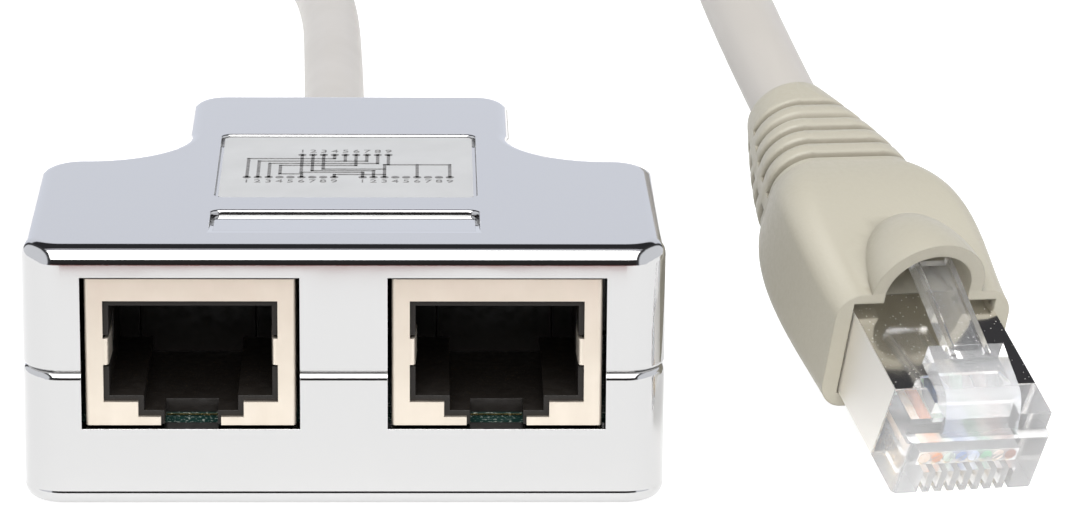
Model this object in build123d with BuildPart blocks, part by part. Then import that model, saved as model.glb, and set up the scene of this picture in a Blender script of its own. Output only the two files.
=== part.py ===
from build123d import *
from math import cos, pi, radians, sin, tan
import os

os.makedirs("parts", exist_ok=True)

# Network socket splitter: a moulded two-shell housing with two shielded sockets in its front,
# a lead out of its neck, and a shielded plug with a boot at the lead's far end.
# Millimetres. X is to the right, Y to the rear, Z up. The origin is the middle of the base.

# Housing
housing_width = 47.2
housing_depth = 43.0
housing_height = 19.8
body_depth = 24.2
neck_share = 0.54
wall = 1.6
parting_share = 0.52
front_corner_radius = 3.0
shoulder_share = 0.32
neck_root_share = 0.66
neck_corner_radius = 2.8
rim_radius = 1.3
base_radius = 0.95
parting_upper = 0.35
parting_lower = 0.6
lip_height = 0.9
lip_thickness = 0.7
fit_gap = 0.1

# Recesses in the roof, and the plate in the rear one
label_margin = 2.9
label_length = 17.3
label_depth = 0.5
label_front = 13.4
label_corner = 0.8
plate_thickness = 0.35
plate_gap = 0.25
ramp_overhang = 0.1
ramp_front = 4.0
ramp_rear = 9.8
ramp_depth = 0.6
ramp_corner = 0.8
recess_edge = 0.2

# Pins and sockets that line the shells up
boss_diameter = 4.0
pin_diameter = 1.8
pin_length = 3.0
neck_boss_margin = 3.75
neck_boss_setback = 8.9
middle_boss_setback = 9.5

# Circuit board
board_share = 0.3106
board_thickness = 1.6
board_gap = 0.5
board_setback = 1.5
board_tail_margin = 3.25
board_tail_setback = 12.5
board_corner = 1.0
ledge_size = 2.6

# Sockets
socket_margin = 4.7
socket_spacing = 7.0
shield_clearance = 0.85
shield_depth = 18.5
sheet = 0.3
shield_setback = 0.35
window_side_gap = 0.3
window_end_gap = 0.2
mouth_margin = 1.74
mouth_bottom = 2.2
mouth_lintel = 2.1
step_share = 0.5772
step_bottom = 1.05
slot_share = 0.3272
slot_depth = 2.75
cutout_margin = 0.42
cavity_depth = 14.0
leaf_bottom_share = 0.51
leaf_height_share = 0.22
leaf_length = 6.0
leaf_bend_share = 0.55
leaf_rest_gap = 0.05
leg_width = 1.4
leg_length = 2.6
leg_setback = 9.15
dimple_width = 2.2
dimple_height = 1.5
dimple_share = 0.7

# Contacts of the sockets
contact_count = 8
pitch_share = 0.08557
contact_width = 0.45
contact_thickness = 0.3
contact_drop = 2.3
contact_reach = 9.0
comb_width = 0.62
comb_height = 1.1
comb_start = 3.7
contact_row_gap = 1.5
contact_leg_gap = 1.15
contact_tail = 1.0

# Lead
lead_diameter = 5.5
lead_gap = 0.05
lead_hole_gap = 0.2
jacket_setback = 9.9
bore_depth = 0.8
bore_diameter = 4.7
wire_diameter = 0.95
wire_ring = 1.75
wire_start = 0.9
wire_drop = 0.3
wire_bend = 0.6
plug_wire_bend = 0.5
grip_width = 1.0
grip_pitch = 2.4
grip_setback = 5.6
tie_width = 2.2
tie_thickness = 0.9
tie_head_share = 0.2
tie_head_flatness = 0.8
tie_setback = 8.0
pad_pitch = 2.3
pad_front_margin = 4.0
pad_rear_margin = 1.2

# Plug, measured back from its nose, across it and up from its underside
plug_width = 11.68
plug_height = 6.5
nose_length = 4.3
nose_setback = 1.0
nose_ledge = 5.0
nose_radius = 0.45
plug_length = 14.4
plug_sheet = 0.25
plug_pitch = 1.02
row_gap = 0.1
blade_slot = 0.5
blade_height = 2.0
blade_slot_length = 5.6
blade_thickness = 0.38
blade_start = 1.5
blade_exposed = 0.35
blade_nose = 0.4
blade_end_gap = 0.2
wire_row = 2.6
wire_row_start = 1.2
wire_fan = 7.2
wire_fan_bend = 0.6
wire_fan_length = 1.6
wire_gather = 1.2
cavity_bottom = 1.05
cavity_top = 5.45
latch_width = 6.2
lever_width = 3.3
latch_root_front = 0.4
latch_root_back = 2.1
latch_knee_back = 1.1
latch_knee_height = 7.1
latch_bend_back = 2.3
latch_bend_height = 8.15
latch_inner_back = 2.4
latch_inner_height = 6.6
latch_under_back = 3.2
latch_under_height = 7.1
shoulder_back = 6.1
shoulder_top = 9.0
shoulder_height = 1.7
lever_start = 5.1
lever_start_top = 8.75
lever_end = 14.2
lever_end_top = 10.2
lever_thickness = 0.65
rail_width = 0.5
rail_height = 0.3
valley_width = 6.4
valley_start = 2.6
notch_depth = 1.3
notch_flare = 0.5
barrel_length = 5.6
barrel_gap = 0.06

# Boot of the plug
boot_width = 14.6
boot_height = 9.2
boot_drop = 1.2
boot_corner = 1.9
boot_middle_back = 18.5
boot_middle_width = 15.4
boot_middle_height = 9.8
boot_middle_corner = 2.1
boot_middle_centre = 3.6
boot_crown_back = 24.8
boot_crown_width = 15.0
boot_crown_height = 9.8
boot_crown_corner = 2.4
boot_crown_centre = 4.0
rim_top_back = 13.1
rim_bottom_back = 11.2
rim_slope = 0.26
tail_overlap = 0.5
boot_waist_back = 28.8
boot_waist_width = 12.2
boot_waist_height = 8.8
boot_waist_centre = 3.6
waist_corner = 3.0
tail_curve = 1.35
tail_steps = 4
tip_flat = 0.05
boot_end_back = 40.0
boot_end_diameter = 6.7
boot_cavity_gap = 0.12
boot_ceiling_gap = 0.75
hood_radius = 4.6
hood_centre = 8.1
hood_wall = 1.1
hood_front = 12.9
hood_reach = 8.2
hood_lead_in = 0.5
hood_turns = (0, 24, 46, 64, 78)
groove_count = 5
groove_first = 28.9
groove_pitch = 1.85
groove_width = 1.2
groove_depth = 0.6
groove_profile = ((0, -0.1), (0.25, 0.3), (0.5, 1), (0.75, 0.3), (1, -0.1))
spine_height = 1.1
end_chamfer = 0.45

# Where the plug lies: the middle of its nose edge, its heading, its tilt and its roll, in degrees
plug_nose = Vector(45.8, -19.4, 0.5)
plug_heading = 19.1
plug_tilt = 24.8
plug_roll = -4.9
plug_lead_length = 50.6

# Values worked out from the sizes above
front_y = -housing_depth / 2
shoulder_y = front_y + body_depth
rear_y = housing_depth / 2
roof = housing_height - wall
parting_height = parting_share * housing_height
neck_width = neck_share * housing_width
shoulder_run = (housing_width - neck_width) / 2
shoulder_radius = shoulder_share * shoulder_run
neck_root_radius = neck_root_share * shoulder_run
label_width = neck_width - 2 * label_margin
ramp_width = label_width + 2 * ramp_overhang
board_top = board_share * housing_height
board_bottom = board_top - board_thickness
board_tail_width = neck_width - 2 * board_tail_margin
board_tail_end = rear_y - board_tail_setback
pad_front_y = board_tail_end - pad_front_margin
pad_rear_y = board_tail_end - pad_rear_margin
shield_width = (housing_width - 2 * socket_margin - socket_spacing) / 2
shield_height = roof - board_top - shield_clearance
socket_pitch = shield_width + socket_spacing
socket_x = [-socket_pitch / 2, socket_pitch / 2]
mouth_width = shield_width - 2 * mouth_margin
mouth_top = shield_height - mouth_lintel
step_width = step_share * mouth_width
slot_width = slot_share * mouth_width
contact_pitch = pitch_share * mouth_width
leaf_bottom = leaf_bottom_share * mouth_top
leaf_height = leaf_height_share * mouth_top
face_y = front_y + shield_setback
leg_y = face_y + leg_setback
dimple_y = leg_y + 2 * dimple_width
insert_front = face_y + sheet
shield_rear = face_y + shield_depth
insert_rear = shield_rear - sheet
cavity_rear = insert_front + cavity_depth
shield_top = board_top + shield_height
insert_top = shield_top - sheet - lead_gap
contact_x = [(i - (contact_count - 1) / 2) * contact_pitch for i in range(contact_count)]
contact_run_z = board_top + mouth_top + comb_height / 2
contact_leg_y = [insert_rear - contact_leg_gap - (i % 2) * contact_row_gap for i in range(contact_count)]
neck_boss_x = neck_width / 2 - neck_boss_margin
middle_boss = (0, front_y + middle_boss_setback)
bosses = [middle_boss] + [(side * neck_boss_x, rear_y - neck_boss_setback) for side in (-1, 1)]
grip_y = [rear_y - grip_setback, rear_y - grip_setback + grip_pitch]
lead_height = parting_height
tie_y = rear_y - tie_setback
tie_head = tie_head_share * housing_height
jacket_end = rear_y - jacket_setback
ring_angles = [157.5, 202.5, 112.5, 247.5, 292.5, 67.5, 337.5, 22.5]
pad_columns = [-1.5, -1.5, -0.5, -0.5, 0.5, 0.5, 1.5, 1.5]
wire_names = ["white_orange", "orange", "white_green", "blue", "white_blue", "green", "white_brown", "brown"]

plug_aim = Vector(sin(radians(plug_heading)) * cos(radians(plug_tilt)),
                  -cos(radians(plug_heading)) * cos(radians(plug_tilt)),
                  -sin(radians(plug_tilt)))
plug_back = plug_aim * -1
plug_across = Vector(0, 0, 1).cross(plug_aim).normalized().rotate(Axis((0, 0, 0), plug_aim), plug_roll)
plug_up = plug_across.cross(plug_back)
plug_plan = Plane(origin=plug_nose, x_dir=plug_across, z_dir=plug_up)
lead_axis = plug_height / 2
boot_centre = boot_height / 2 - boot_drop
tail_start = rim_bottom_back - tail_overlap
plug_contact_x = [(i - (contact_count - 1) / 2) * plug_pitch for i in range(contact_count)]
wire_row_width = contact_count * plug_pitch + row_gap

# The lead's route from the housing to where it meets the plug's axis, in millimetres
lead_points = [
    (0.0, jacket_end, lead_height),
    (0.0, 30.0, lead_height),
    (-0.9, 52.0, 2.8),
    (-1.6, 86.0, 2.8),
    (-4.5, 121.0, 2.8),
    (-10.5, 145.0, 2.8),
    (-0.5, 169.0, 2.8),
    (23.5, 179.0, 2.8),
    (47.0, 169.5, 2.8),
    (57.0, 146.5, 4.0),
    (48.0, 117.0, 10.5),
    (35.5, 83.0, 20.5),
]


def plug_section(back):
    """Plane across the plug at a distance back from its nose, seen from the nose."""
    return Plane(origin=plug_plan.from_local_coords((0, back, 0)), x_dir=plug_across, z_dir=plug_back * -1)


def plug_side(across):
    """Plane along the plug, its X to the plug's rear and its Y up."""
    return Plane(origin=plug_plan.from_local_coords((across, 0, 0)), x_dir=plug_back, z_dir=plug_across)


def save(builder, name):
    """Label a finished piece and write its file."""
    builder.part.label = name
    export_step(builder.part, "parts/" + name + ".step")


ramp_run = Vector(0, ramp_rear - ramp_front, -ramp_depth).length
ramp_plane = Plane(origin=(0, front_y + ramp_front, housing_height), x_dir=(1, 0, 0),
                   z_dir=(0, ramp_depth, ramp_rear - ramp_front))


def housing_plan(height, inset=0.0):
    """Plan of the housing at a height, pulled in from the outer skin by an inset."""
    half, neck = housing_width / 2 - inset, neck_width / 2 - inset
    convex = [max(r - inset, 0.2) for r in (front_corner_radius, shoulder_radius, neck_corner_radius)]
    with BuildSketch(Plane.XY.offset(height)) as plan:
        with BuildLine():
            FilletPolyline((0, front_y + inset), (half, front_y + inset), (half, shoulder_y - inset),
                           (neck, shoulder_y - inset), (neck, rear_y - inset), (0, rear_y - inset),
                           radius=[convex[0], convex[1], neck_root_radius + inset, convex[2]])
            mirror(about=Plane.YZ)
        make_face()
    return plan.sketch


def wall_ring(height, outer, inner):
    """Plan of the band of the wall between two insets from the outer skin."""
    return housing_plan(height, outer) - housing_plan(height, inner)


def windows():
    """Front view of the two openings that the sockets look through."""
    with BuildSketch(Plane.XZ.offset(-front_y)) as view:
        for x in socket_x:
            with Locations((x, board_top + shield_height / 2)):
                Rectangle(shield_width + 2 * window_side_gap, shield_height + 2 * window_end_gap)
    return view.sketch


def lead_hole(diameter, y):
    """Cross-section of the lead's seat at a place along the neck."""
    with BuildSketch(Plane.XZ.offset(-y)) as view:
        with Locations((0, lead_height)):
            Circle(diameter / 2)
    return view.sketch


# Upper shell, with the recesses of its roof, the pins and the upper half of the lead's grips
with BuildPart() as upper_shell:
    extrude(housing_plan(parting_height), amount=housing_height - parting_height)
    fillet(upper_shell.faces().sort_by(Axis.Z)[-1].edges(), rim_radius)
    fillet(upper_shell.faces().sort_by(Axis.Z)[0].edges(), parting_upper)
    extrude(housing_plan(parting_height, wall), amount=roof - parting_height, mode=Mode.SUBTRACT)
    with BuildSketch(Plane.XY.offset(parting_height)):
        with Locations(*bosses):
            Circle(boss_diameter / 2)
    extrude(amount=roof - parting_height)
    with BuildSketch(Plane.XY.offset(parting_height)):
        with Locations(*bosses):
            Circle(pin_diameter / 2)
    extrude(amount=-pin_length)
    for y in grip_y:
        with BuildSketch(Plane.XY.offset(parting_height)):
            with Locations((0, y)):
                Rectangle(neck_width - wall, grip_width)
        extrude(amount=roof - parting_height)
        extrude(lead_hole(lead_diameter + 2 * lead_gap, y), amount=grip_width, both=True, mode=Mode.SUBTRACT)
    extrude(wall_ring(parting_height, wall - lip_thickness - fit_gap, wall + fit_gap),
            amount=lip_height + fit_gap,
            mode=Mode.SUBTRACT)
    extrude(lead_hole(lead_diameter + 2 * lead_hole_gap, rear_y), amount=wall, both=True, mode=Mode.SUBTRACT)
    extrude(windows(), amount=-wall - fit_gap, mode=Mode.SUBTRACT)
    with BuildSketch(Plane.XY.offset(housing_height)):
        with Locations((0, front_y + label_front + label_length / 2)):
            RectangleRounded(label_width, label_length, label_corner)
    extrude(amount=-label_depth, mode=Mode.SUBTRACT)
    with BuildSketch(ramp_plane):
        with Locations((0, (ramp_run - ramp_corner) / 2)):
            RectangleRounded(ramp_width, ramp_run + ramp_corner, ramp_corner)
    extrude(amount=2 * ramp_depth, mode=Mode.SUBTRACT)
    roof_top = upper_shell.faces().filter_by(Axis.Z).sort_by(Axis.Z)[-1]
    fillet(roof_top.inner_wires().edges(), recess_edge)
save(upper_shell, "upper_shell")

# Lower shell, with the lip of the parting line, the board's ledges and the sockets of the pins
ledge_x = housing_width / 2 - wall - ledge_size / 2
ledge_inset = wall + ledge_size / 2 + shoulder_radius
ledge_y = [front_y + ledge_inset, shoulder_y - ledge_inset]
with BuildPart() as lower_shell:
    extrude(housing_plan(0), amount=parting_height)
    fillet(lower_shell.faces().sort_by(Axis.Z)[0].edges(), base_radius)
    fillet(lower_shell.faces().sort_by(Axis.Z)[-1].edges(), parting_lower)
    extrude(housing_plan(parting_height - lip_height, wall - lip_thickness), amount=2 * lip_height)
    extrude(housing_plan(wall, wall), amount=housing_height, mode=Mode.SUBTRACT)
    with BuildSketch(Plane.XY.offset(wall)):
        with Locations(*[(side * ledge_x, y) for side in (-1, 1) for y in ledge_y]):
            Rectangle(ledge_size, ledge_size)
    extrude(amount=board_bottom - wall)
    with BuildSketch(Plane.XY.offset(wall)):
        with Locations(*bosses):
            Circle(boss_diameter / 2)
    extrude(amount=parting_height - wall)
    with BuildSketch(Plane.XY.offset(parting_height)):
        with Locations(*bosses):
            Circle(pin_diameter / 2 + fit_gap / 2)
    extrude(amount=-pin_length - fit_gap, mode=Mode.SUBTRACT)
    for y in grip_y:
        with BuildSketch(Plane.XY.offset(wall)):
            with Locations((0, y)):
                Rectangle(neck_width - wall, grip_width)
        extrude(amount=parting_height - wall)
        extrude(lead_hole(lead_diameter + 2 * lead_gap, y), amount=grip_width, both=True, mode=Mode.SUBTRACT)
    extrude(lead_hole(lead_diameter + 2 * lead_hole_gap, rear_y), amount=wall, both=True, mode=Mode.SUBTRACT)
    extrude(windows(), amount=-wall - fit_gap, mode=Mode.SUBTRACT)
save(lower_shell, "lower_shell")

# Plate in the rear recess of the roof
with BuildPart() as label_plate:
    with BuildSketch(Plane.XY.offset(housing_height - label_depth)):
        with Locations((0, front_y + label_front + label_length / 2)):
            RectangleRounded(label_width - 2 * plate_gap, label_length - 2 * plate_gap,
                             label_corner - plate_gap)
    extrude(amount=plate_thickness)
save(label_plate, "label_plate")

# Circuit board, with holes for the socket legs and contacts and for the shells' middle boss
with BuildPart() as circuit_board:
    board_side = housing_width / 2 - wall - board_gap
    board_front = front_y + wall + board_setback
    board_rear = shoulder_y - wall - board_gap
    with BuildSketch(Plane.XY.offset(board_bottom)):
        with BuildLine():
            Polyline((0, board_front), (board_side, board_front), (board_side, board_rear),
                     (board_tail_width / 2, board_rear), (board_tail_width / 2, board_tail_end),
                     (0, board_tail_end))
            mirror(about=Plane.YZ)
        make_face()
        with Locations(middle_boss):
            Circle(boss_diameter / 2 + 2 * fit_gap, mode=Mode.SUBTRACT)
        for x in socket_x:
            with Locations(*[(x + side * (shield_width - sheet) / 2, leg_y) for side in (-1, 1)]):
                Rectangle(sheet + 2 * fit_gap, leg_width + 2 * fit_gap, mode=Mode.SUBTRACT)
            with Locations(*[(x + contact_x[i], contact_leg_y[i]) for i in range(contact_count)]):
                Circle(contact_width, mode=Mode.SUBTRACT)
    extrude(amount=board_thickness)
    board_corners = circuit_board.edges().filter_by(Axis.Z)
    fillet(board_corners.filter_by(lambda e: abs(abs(e.center().X) - board_side) < 0.01), board_corner)
save(circuit_board, "circuit_board")


def mouth_outline(x, margin):
    """Front view of a socket's stepped mouth, grown by a margin at the step and the slot's sides."""
    low = board_top - (1 if margin else 0)
    steps = [(mouth_width, mouth_bottom, mouth_top), (step_width, step_bottom, mouth_bottom)]
    with BuildSketch(Plane.XZ.offset(-face_y)) as view:
        for width, bottom, top in steps:
            with BuildLine():
                Polyline((x - width / 2 - margin, board_top + bottom - margin),
                         (x + width / 2 + margin, board_top + bottom - margin),
                         (x + width / 2 + margin, board_top + top + margin),
                         (x - width / 2 - margin, board_top + top + margin), close=True)
            make_face()
        with Locations((x, (low + board_top + step_bottom) / 2)):
            Rectangle(slot_width + 1.2 * margin, board_top + step_bottom - low)
    return view.sketch


def leaf_path(x, side):
    """Plan of a side spring leaf, folded in at the edge of the shield's cut-out."""
    edge = mouth_width / 2
    with BuildSketch(Plane.XY.offset(board_top + leaf_bottom)) as plan:
        with BuildLine():
            FilletPolyline((x + side * (edge + cutout_margin + sheet), face_y + sheet / 2),
                           (x + side * (edge + sheet / 2), face_y + sheet / 2),
                           (x + side * (edge + leaf_rest_gap), face_y + leaf_length * leaf_bend_share),
                           (x + side * (edge + sheet), face_y + leaf_length), radius=0.2)
        trace(line_width=sheet)
    return plan.sketch


def make_shield(name, x):
    """Sheet-metal can of one socket: open below, folded round the mouth, with side leaves and legs."""
    with BuildPart() as shield:
        with BuildSketch(Plane.XY.offset(board_top)):
            with Locations((x, face_y + shield_depth / 2)):
                Rectangle(shield_width, shield_depth)
        extrude(amount=shield_height)
        fillet(shield.edges().filter_by(Axis.Z), sheet)
        with BuildSketch(Plane.XY.offset(board_top)):
            with Locations((x, face_y + shield_depth / 2)):
                Rectangle(shield_width - 2 * sheet, shield_depth - 2 * sheet)
        extrude(amount=shield_height - sheet, mode=Mode.SUBTRACT)
        extrude(mouth_outline(x, cutout_margin), amount=-2 * sheet, both=True, mode=Mode.SUBTRACT)
        for side in (-1, 1):
            extrude(leaf_path(x, side), amount=leaf_height)
        with BuildSketch(Plane.XY.offset(board_top)):
            with Locations(*[(x + side * (shield_width - sheet) / 2, leg_y) for side in (-1, 1)]):
                Rectangle(sheet, leg_width)
        extrude(amount=-leg_length)
        with BuildSketch(Plane.YZ.offset(x - shield_width)):
            with Locations((dimple_y, board_top + shield_height * dimple_share)):
                Rectangle(dimple_width, dimple_height)
        extrude(amount=2 * shield_width, mode=Mode.SUBTRACT)
    save(shield, name)


def make_insert(name, x):
    """Moulded inside of one socket: stepped mouth, latch channel, side pockets, comb and rear bay."""
    width = shield_width - 2 * sheet - 2 * lead_gap
    rear = insert_rear - lead_gap
    with BuildPart() as insert:
        with BuildSketch(Plane.XY.offset(board_top)):
            with Locations((x, (insert_front + rear) / 2)):
                Rectangle(width, rear - insert_front)
        extrude(amount=insert_top - board_top)
        with BuildSketch(Plane.YZ.offset(x - width / 2 - sheet)):
            with Locations((dimple_y, board_top + shield_height * dimple_share)):
                Rectangle(dimple_width - 2 * fit_gap, dimple_height - 2 * fit_gap)
        extrude(amount=width + 2 * sheet)
        with BuildSketch(Plane.XZ.offset(-insert_front)):
            with Locations((x, board_top + (mouth_bottom + mouth_top) / 2)):
                Rectangle(mouth_width, mouth_top - mouth_bottom)
            with Locations((x, board_top + (step_bottom + mouth_bottom) / 2)):
                Rectangle(step_width, mouth_bottom - step_bottom)
        extrude(amount=-cavity_depth, mode=Mode.SUBTRACT)
        with BuildSketch(Plane.XY.offset(board_top)):
            with Locations((x, insert_front + slot_depth / 2)):
                Rectangle(slot_width, slot_depth)
        extrude(amount=step_bottom, mode=Mode.SUBTRACT)
        with BuildSketch(Plane.XY.offset(board_top + leaf_bottom - 2 * fit_gap)):
            with Locations((x, insert_front + leaf_length / 2)):
                Rectangle(mouth_width + 4 * sheet, leaf_length + 2 * sheet)
        extrude(amount=leaf_height + 4 * fit_gap, mode=Mode.SUBTRACT)
        with BuildSketch(Plane.XY.offset(board_top + mouth_top)):
            for dx in contact_x:
                with Locations((x + dx, (insert_front + comb_start + cavity_rear) / 2)):
                    Rectangle(comb_width, cavity_rear - insert_front - comb_start)
        extrude(amount=comb_height, mode=Mode.SUBTRACT)
        with BuildSketch(Plane.XY.offset(board_top)):
            with Locations((x, (cavity_rear + rear) / 2)):
                Rectangle(contact_count * contact_pitch + comb_width, rear - cavity_rear)
        extrude(amount=mouth_top + comb_height, mode=Mode.SUBTRACT)
    save(insert, name)


def make_contact_block(name, x):
    """Rear block of one socket, with a groove for each contact's leg."""
    block_rear = insert_rear - 2 * fit_gap
    width = contact_count * contact_pitch + comb_width - 2 * lead_gap
    with BuildPart() as block:
        with BuildSketch(Plane.XY.offset(board_top)):
            with Locations((x, (cavity_rear + block_rear) / 2)):
                Rectangle(width, block_rear - cavity_rear)
            for dx, y in zip(contact_x, contact_leg_y):
                with Locations((x + dx, (y - contact_thickness + block_rear) / 2)):
                    Rectangle(comb_width, block_rear - y + contact_thickness, mode=Mode.SUBTRACT)
        extrude(amount=mouth_top)
    save(block, name)


def make_socket_contact(name, x, leg):
    """One spring contact: leg through the board, run along the comb, and a slant back into the mouth."""
    bend_y = insert_front + comb_start + contact_thickness
    with BuildPart() as contact:
        with BuildSketch(Plane.YZ.offset(x - contact_width / 2)):
            with BuildLine():
                FilletPolyline((leg, board_bottom - contact_tail), (leg, contact_run_z),
                               (bend_y, contact_run_z),
                               (bend_y + contact_reach, board_top + mouth_top - contact_drop),
                               radius=[contact_thickness * 1.2, contact_thickness * 0.6])
            trace(line_width=contact_thickness)
        extrude(amount=contact_width)
    save(contact, name)


# The two sockets, each a shield, a moulded insert, a rear block and eight contacts
for prefix, x in zip(("left_socket", "right_socket"), socket_x):
    make_shield(prefix + "_shield", x)
    make_insert(prefix + "_insert", x)
    make_contact_block(prefix + "_block", x)
    for i in range(contact_count):
        make_socket_contact(prefix + "_contact_" + str(i + 1), x + contact_x[i], contact_leg_y[i])


def ring_place(index):
    """Sideways and upward place of a wire in the end of the jacket."""
    angle = radians(ring_angles[index])
    return wire_ring * cos(angle), wire_ring * sin(angle)


def make_wire(name, points, bend):
    """Insulated wire swept along a route with rounded corners."""
    with BuildPart() as wire:
        with BuildLine():
            route = FilletPolyline(*points, radius=bend)
        with BuildSketch(Plane(origin=route @ 0, z_dir=route % 0)):
            Circle(wire_diameter / 2)
        sweep()
    save(wire, name)


# Wires from the end of the jacket to the board's pads, the lower four to the rear row
for i, colour in enumerate(wire_names):
    dx, dz = ring_place(i)
    pad_x = pad_columns[i] * pad_pitch
    pad_y = pad_front_y if dz > 0 else pad_rear_y
    height = lead_height + dz
    make_wire("board_wire_" + colour,
              [(dx, jacket_end + bore_depth, height), (dx, jacket_end - wire_start, height),
               (pad_x, pad_y, height - wire_drop), (pad_x, pad_y, board_top)], wire_bend)

# Tie that holds the lead inside the neck
with BuildPart() as cable_tie:
    with BuildSketch(Plane.XZ.offset(-tie_y)):
        with Locations((0, lead_height)):
            Circle(lead_diameter / 2 + lead_gap + tie_thickness)
        with Locations((0, lead_height + lead_diameter / 2 + tie_head / 2)):
            Rectangle(tie_head, tie_head * tie_head_flatness)
        with Locations((0, lead_height)):
            Circle(lead_diameter / 2 + lead_gap, mode=Mode.SUBTRACT)
    extrude(amount=tie_width / 2, both=True)
save(cable_tie, "cable_tie")

# Lead: straight runs joined by tangent arcs, each as large as its runs allow
plug_end = plug_plan.from_local_coords((0, plug_length + lead_gap, lead_axis))
plug_turn = plug_plan.from_local_coords((0, plug_length + plug_lead_length, lead_axis))
route_points = [Vector(*point) for point in lead_points] + [plug_turn, plug_end]
route_radii = []
for before, corner, after in zip(route_points, route_points[1:], route_points[2:]):
    half_turn = radians((corner - before).get_angle(after - corner)) / 2
    shorter = min((corner - before).length, (after - corner).length)
    route_radii.append(0.45 * shorter / tan(half_turn))
with BuildPart() as cable_jacket:
    with BuildLine():
        lead_route = FilletPolyline(*route_points, radius=route_radii)
    with BuildSketch(Plane(origin=lead_route @ 0, z_dir=lead_route % 0)):
        Circle(lead_diameter / 2)
    sweep()
    jacket_volume = cable_jacket.part.volume
    for end, inward in ((lead_route @ 0, lead_route % 0), (lead_route @ 1, (lead_route % 1) * -1)):
        with BuildSketch(Plane(origin=end, z_dir=inward)):
            Circle(bore_diameter / 2)
        extrude(amount=bore_depth, mode=Mode.SUBTRACT)
route_length = lead_route.length
print("lead length", round(route_length, 1), "radii", [round(r, 1) for r in route_radii])
print("jacket volume", round(jacket_volume, 1), "section times length",
      round(pi * (lead_diameter / 2) ** 2 * route_length, 1))
save(cable_jacket, "cable_jacket")

# Clear moulding of the plug with its latch, blade slots, wire channel and wire cavity
with BuildPart(plug_plan) as plug_body:
    with BuildSketch(plug_side(-plug_width / 2)):
        with BuildLine():
            Polyline((0, 0), (nose_length, 0), (nose_length, plug_height), (nose_setback, plug_height),
                     (nose_setback, nose_ledge), (0, nose_ledge), close=True)
        make_face()
    extrude(amount=plug_width)
    fillet(plug_body.edges().filter_by(lambda e: abs(e.length - nose_ledge) < 0.01), nose_radius)
    with BuildSketch(plug_section(nose_length)):
        with Locations((0, plug_height / 2)):
            Rectangle(plug_width - 2 * plug_sheet, plug_height - 2 * plug_sheet)
    extrude(amount=nose_length - plug_length)
    with BuildSketch(plug_side(-valley_width / 2)):
        with BuildLine():
            Polyline((valley_start, plug_height), (valley_start, nose_ledge), (nose_length, nose_ledge),
                     (nose_length + notch_depth, plug_height - plug_sheet),
                     (nose_length + notch_depth, plug_height), close=True)
        make_face()
    extrude(amount=valley_width, mode=Mode.SUBTRACT)
    with BuildSketch(plug_side(-latch_width / 2)):
        with BuildLine():
            front = Spline((latch_root_front, nose_ledge), (latch_knee_back, latch_knee_height),
                           (latch_bend_back, latch_bend_height), tangents=((0.2, 1), (1, 0.25)))
            Polyline(front @ 1, (shoulder_back, shoulder_top), (shoulder_back, shoulder_top - shoulder_height),
                     (latch_under_back, latch_under_height))
            back = Spline((latch_under_back, latch_under_height), (latch_inner_back, latch_inner_height),
                          (latch_root_back, nose_ledge), tangents=((-1, -0.1), (0, -1)))
            Line(back @ 1, front @ 0)
        make_face()
    extrude(amount=latch_width)
    with BuildSketch(plug_side(-lever_width / 2)):
        with BuildLine():
            Polyline((lever_start, lever_start_top), (lever_end, lever_end_top),
                     (lever_end, lever_end_top - lever_thickness),
                     (lever_start, lever_start_top - lever_thickness), close=True)
        make_face()
    extrude(amount=lever_width)
    for side in (-1, 1):
        with BuildSketch(plug_side(side * (lever_width - rail_width) / 2 - rail_width / 2)):
            with BuildLine():
                Polyline((lever_start, lever_start_top), (lever_end, lever_end_top),
                         (lever_end, lever_end_top + rail_height),
                         (lever_start, lever_start_top + rail_height), close=True)
            make_face()
        extrude(amount=rail_width)
    with BuildSketch(plug_plan):
        for dx in plug_contact_x:
            with Locations((dx, blade_slot_length / 2)):
                Rectangle(blade_slot, blade_slot_length)
    extrude(amount=blade_height, mode=Mode.SUBTRACT)
    with BuildSketch(plug_section(wire_row_start)):
        with Locations((0, wire_row)):
            Rectangle(wire_row_width, 2 * (wire_row - blade_height))
    extrude(amount=wire_row_start - wire_fan - 1, mode=Mode.SUBTRACT)
    with BuildSketch(plug_section(wire_fan)):
        with Locations((0, (cavity_bottom + cavity_top) / 2)):
            Rectangle(wire_row_width, cavity_top - cavity_bottom)
    extrude(amount=wire_fan - plug_length - 1, mode=Mode.SUBTRACT)
save(plug_body, "plug_body")

# Blades in the slots of the nose
for i, dx in enumerate(plug_contact_x):
    with BuildPart(plug_plan) as blade:
        with BuildSketch(plug_side(dx - blade_thickness / 2)):
            with BuildLine():
                Polyline((blade_start, blade_exposed + blade_nose), (blade_start + blade_nose, blade_exposed),
                         (blade_slot_length - blade_end_gap, blade_exposed),
                         (blade_slot_length - blade_end_gap, wire_row - wire_diameter / 2),
                         (blade_start, wire_row - wire_diameter / 2), close=True)
            make_face()
        extrude(amount=blade_thickness)
    save(blade, "plug_blade_" + str(i + 1))

# Wires from the nose of the plug back to the end of the jacket
for i, colour in enumerate(wire_names):
    dx, dz = ring_place(i)
    slot_x, fan_start = plug_contact_x[i], wire_fan + wire_fan_bend
    local = [(slot_x, wire_row_start, wire_row), (slot_x, fan_start, wire_row),
             (slot_x, fan_start + wire_fan_length, lead_axis + dz),
             (dx, plug_length - wire_gather, lead_axis + dz),
             (dx, plug_length + lead_gap + bore_depth, lead_axis + dz)]
    make_wire("plug_wire_" + colour, [plug_plan.from_local_coords(point) for point in local], plug_wire_bend)

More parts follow.
